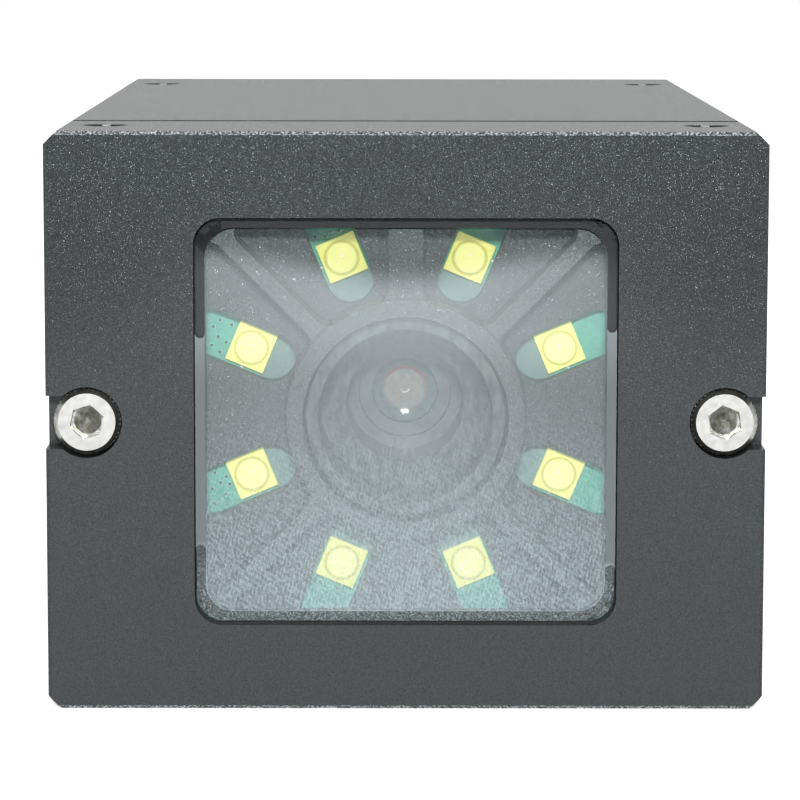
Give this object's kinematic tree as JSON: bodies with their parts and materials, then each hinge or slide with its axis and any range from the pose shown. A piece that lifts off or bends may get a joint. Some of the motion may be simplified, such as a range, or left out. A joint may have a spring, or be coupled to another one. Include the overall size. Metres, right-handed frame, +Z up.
{
  "type": "fixed barcode reader",
  "caption": "Box-shaped fixed barcode reader with a front window, a ring of light diodes behind a petal mask, a hooded lens and round connectors at the rear.",
  "frame": {"origin": "middle of the underside of the whole object's box", "axes": "+X to the right as seen from the front, +Y from the window to the rear, +Z up"},
  "size_m": [0.06, 0.114, 0.0485],
  "materials": {
    "coat": "dark grey metallic powder coat with a fine sparkle",
    "glass": "clear polished window glass",
    "adhesive": "black bonding bead",
    "mask": "grey metallic paint with a fine sparkle",
    "board": "green solder mask over glass fibre",
    "led": "yellow phosphor under a clear dome",
    "steel": "bright turned steel",
    "hood": "matt dark plastic",
    "lens_metal": "black anodised",
    "optics": "coated lens glass",
    "black_plastic": "moulded, satin",
    "chip": "moulded epoxy",
    "socket": "natural moulded plastic",
    "seal": "soft, matt",
    "connector_metal": "nickel plated",
    "contact": "gold plated"
  },
  "bodies": {
    "root": {"window_adhesive": "adhesive", "light_mask": "mask", "illumination_board": "board", "illumination_screws": "steel", "lens_hood": "hood", "lens_barrel": "lens_metal", "lens_retainer": "lens_metal", "lens_front_element": "optics", "lens_rear_element": "optics", "lens_lock_ring": "lens_metal", "lens_holder": "black_plastic", "lens_holder_screws": "steel", "sensor_board": "board", "image_sensor": "chip", "sensor_glass": "optics", "sensor_board_screws": "steel", "lamp_socket_1": "socket", "lamp_socket_2": "socket", "lamp_cable": "socket", "front_seal": "seal", "stack_plug": "socket", "stack_socket": "chip", "short_standoffs": "steel", "processor_board": "board", "processor_chip": "chip", "memory_chip_1": "chip", "memory_chip_2": "chip", "long_standoffs": "steel", "interface_board": "board", "board_screws": "steel", "link_socket_1": "socket", "link_socket_2": "socket", "link_cable": "socket", "rear_seal": "seal", "power_connector_nut": "connector_metal", "network_connector_nut": "connector_metal", "power_connector_pins": "contact", "network_connector_contacts": "contact", "led_1": "led", "led_2": "led", "led_3": "led", "led_4": "led", "led_5": "led", "led_6": "led", "led_7": "led", "led_8": "led", "front_cover": "coat", "window_glass": "glass", "housing": "coat", "front_cover_screws": "steel", "rear_cover": "coat", "rear_cover_screws": "steel", "power_connector_shell": "connector_metal", "power_connector_insert": "black_plastic", "power_connector_seal": "seal", "network_connector_shell": "connector_metal", "network_connector_insert": "black_plastic", "network_connector_seal": "seal"}
  },
  "joints": []
}
